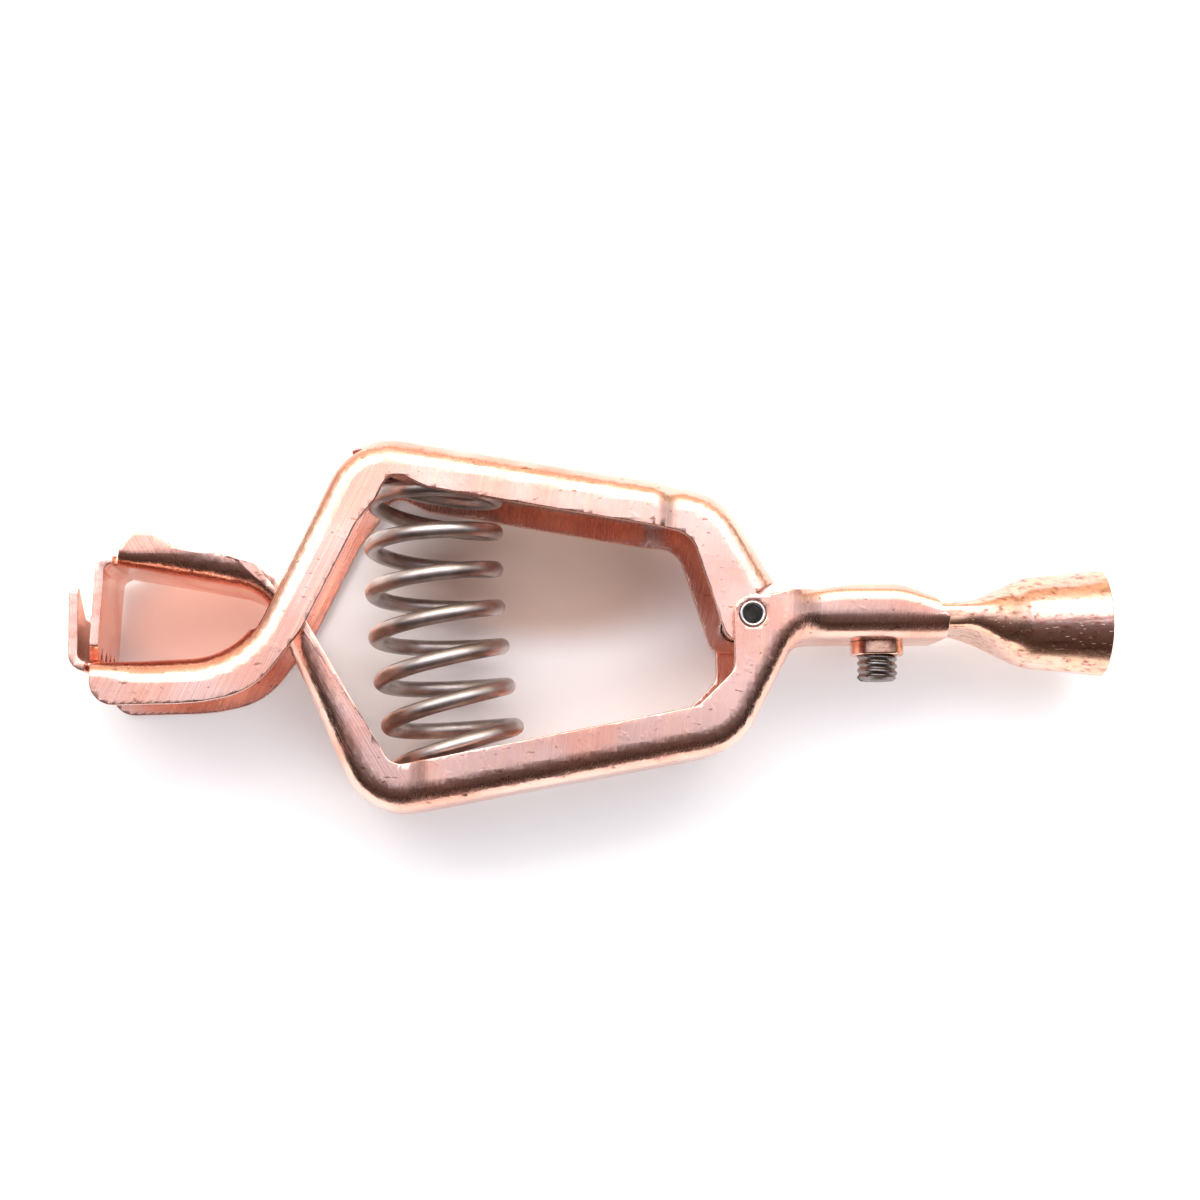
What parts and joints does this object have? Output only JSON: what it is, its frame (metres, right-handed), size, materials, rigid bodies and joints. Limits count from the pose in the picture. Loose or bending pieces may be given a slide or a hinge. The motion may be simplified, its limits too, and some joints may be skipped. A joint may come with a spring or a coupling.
{
  "type": "spring clamp",
  "caption": "Copper scissor clip with crossed channel arms, coil spring, toothed jaw, tubular rivet, set screw and flared cable socket.",
  "frame": {"origin": "centre of the tubular rivet, on its axis at the middle of the clip's width", "axes": "+X from the jaws towards the cable socket, +Y across the arms towards the upper arm, +Z along the rivet; the clip lies on its side on the plane z = -13 mm"},
  "size_m": [0.1582, 0.0561, 0.026],
  "materials": {
    "arm_copper": "bright drawn copper sheet, polished on the bends, fine striations on the flats",
    "socket_copper": "bright copper tube, lightly mottled and scratched",
    "collar_copper": "turned copper, satin",
    "rivet_steel": "bright zinc plated steel",
    "spring_steel": "drawn spring wire, dark and glossy",
    "screw_steel": "plated steel with cut threads"
  },
  "bodies": {
    "lower_arm_body": {"lower_arm": "arm_copper", "pivot_rivet": "rivet_steel", "spring": "spring_steel", "cable_socket": "socket_copper", "screw_collar": "collar_copper"},
    "upper_arm_body": {"upper_arm": "arm_copper"},
    "screw_body": {"set_screw": "screw_steel"}
  },
  "joints": [
    {"name": "jaw_pivot", "type": "hinge", "parent": "lower_arm_body", "child": "upper_arm_body", "pos_m": [0, 0, 0], "axis": [0, 0, 1], "range_deg": [0, 18], "stiffness_Nm_per_rad": 15.5, "springref_deg": -12.61, "deforming": ["spring"]},
    {"name": "screw_travel", "type": "slide", "parent": "lower_arm_body", "child": "screw_body", "axis": [0, -1, 0], "range_m": [-0.002, 0.0035]}
  ]
}
